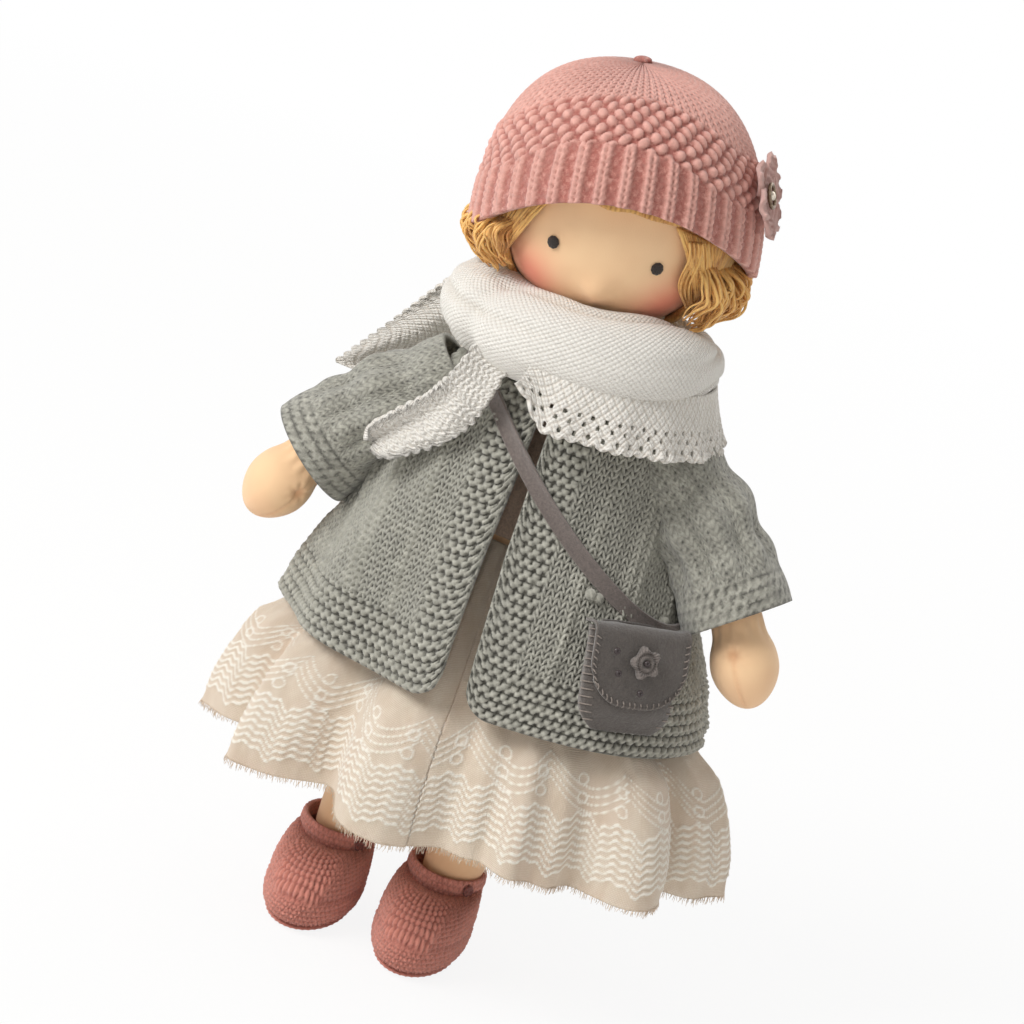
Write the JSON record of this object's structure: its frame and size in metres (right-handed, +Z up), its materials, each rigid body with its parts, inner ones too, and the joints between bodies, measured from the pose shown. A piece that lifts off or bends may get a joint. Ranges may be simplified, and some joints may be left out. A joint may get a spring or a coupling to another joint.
{
  "type": "waldorf doll",
  "caption": "Soft standing doll with stuffed head, arms and legs, knitted hat, scarf and cardigan, linen skirt, crocheted shoes and a felt shoulder bag.",
  "frame": {"origin": "centre of the whole part's box, on the floor under the soles", "axes": "+Z up, the doll faces -Y, its left hand is on the +X side"},
  "size_m": [0.187, 0.1204, 0.3055],
  "materials": {
    "skin": "smooth cotton tricot",
    "wool": "carded wool",
    "thread": "linen thread",
    "eye": "embroidered disc",
    "hair": "mohair",
    "rose_knit": "hand knitted",
    "petal": "crocheted",
    "bronze": "dark",
    "grey_knit": "hand knitted",
    "white_knit": "hand knitted",
    "linen": "crinkled, embroidered",
    "shoe_yarn": "crocheted",
    "felt": "wool felt",
    "rosette": "wool felt",
    "bead": "glossy"
  },
  "bodies": {
    "torso": {"torso_skin": "skin", "torso_stuffing": "wool", "dress_bodice": "linen", "skirt_left": "linen", "skirt_right": "linen", "cardigan_back": "grey_knit", "cardigan_front_left": "grey_knit", "cardigan_front_right": "grey_knit", "bag_strap": "felt", "scarf_wrap": "white_knit", "scarf_drape": "white_knit", "scarf_wing": "white_knit", "scarf_tail": "white_knit"},
    "neck": {"neck": "skin", "neck_tie_thread": "thread"},
    "head": {"head_skin": "skin", "head_stuffing": "wool", "nose": "skin", "eye_left": "eye", "eye_right": "eye", "wig": "hair", "hair_bunch_left": "hair", "hair_bunch_right": "hair", "hair_lock": "hair"},
    "hat": {"hat": "rose_knit", "hat_flower": "petal", "hat_flower_ring": "bronze"},
    "bag": {"bag_pouch": "felt"},
    "bag_flap": {"bag_flap": "felt", "bag_rosette": "rosette", "bag_bead_1": "bead", "bag_bead_2": "bead", "bag_bead_3": "bead"},
    "arm_left": {"arm_left_skin": "skin", "arm_left_stuffing": "wool", "sleeve_left": "grey_knit"},
    "leg_left": {"leg_left_skin": "skin", "leg_left_stuffing": "wool", "shoe_left_upper": "shoe_yarn", "shoe_left_sole": "shoe_yarn", "shoe_left_strap": "shoe_yarn", "shoe_left_button": "bronze"},
    "arm_right": {"arm_right_skin": "skin", "arm_right_stuffing": "wool", "sleeve_right": "grey_knit"},
    "leg_right": {"leg_right_skin": "skin", "leg_right_stuffing": "wool", "shoe_right_upper": "shoe_yarn", "shoe_right_sole": "shoe_yarn", "shoe_right_strap": "shoe_yarn", "shoe_right_button": "bronze"}
  },
  "joints": [
    {"name": "head_nod", "type": "hinge", "parent": "torso", "child": "neck", "pos_m": [0, 0, 0.2055], "axis": [1, 0, 0], "range_deg": [-10, 10], "deforming": ["scarf_wrap", "scarf_drape", "scarf_wing", "scarf_tail"]},
    {"name": "head_turn", "type": "hinge", "parent": "neck", "child": "head", "pos_m": [-0.0045, 0, 0.259], "axis": [-0.0599, -0.0116, 0.9981], "range_deg": [-30, 30]},
    {"name": "hat_lift", "type": "slide", "parent": "head", "child": "hat", "axis": [-0.1451, -0.0282, 0.989], "range_m": [0, 0.09]},
    {"name": "arm_left_raise", "type": "hinge", "parent": "torso", "child": "arm_left", "pos_m": [0.035, 0, 0.187], "axis": [0, -1, 0], "range_deg": [0, 55], "deforming": ["sleeve_left"]},
    {"name": "arm_right_raise", "type": "hinge", "parent": "torso", "child": "arm_right", "pos_m": [-0.035, 0, 0.187], "axis": [0, 1, 0], "range_deg": [0, 55], "deforming": ["sleeve_right"]},
    {"name": "leg_left_swing", "type": "hinge", "parent": "torso", "child": "leg_left", "pos_m": [0.02, 0, 0.106], "axis": [-1, 0, 0], "range_deg": [-15, 90], "deforming": ["skirt_left", "cardigan_front_left"]},
    {"name": "leg_right_swing", "type": "hinge", "parent": "torso", "child": "leg_right", "pos_m": [-0.02, 0, 0.106], "axis": [-1, 0, 0], "range_deg": [-15, 90], "deforming": ["skirt_right", "cardigan_front_right"]},
    {"name": "bag_swing", "type": "hinge", "parent": "torso", "child": "bag", "pos_m": [0.04536, -0.02996, 0.143], "axis": [-0.7777, -0.6286, 0], "range_deg": [0, 30]},
    {"name": "flap_open", "type": "hinge", "parent": "bag", "child": "bag_flap", "pos_m": [0.04692, -0.03189, 0.14319], "axis": [-0.7777, -0.6286, 0], "range_deg": [0, 65]}
  ]
}
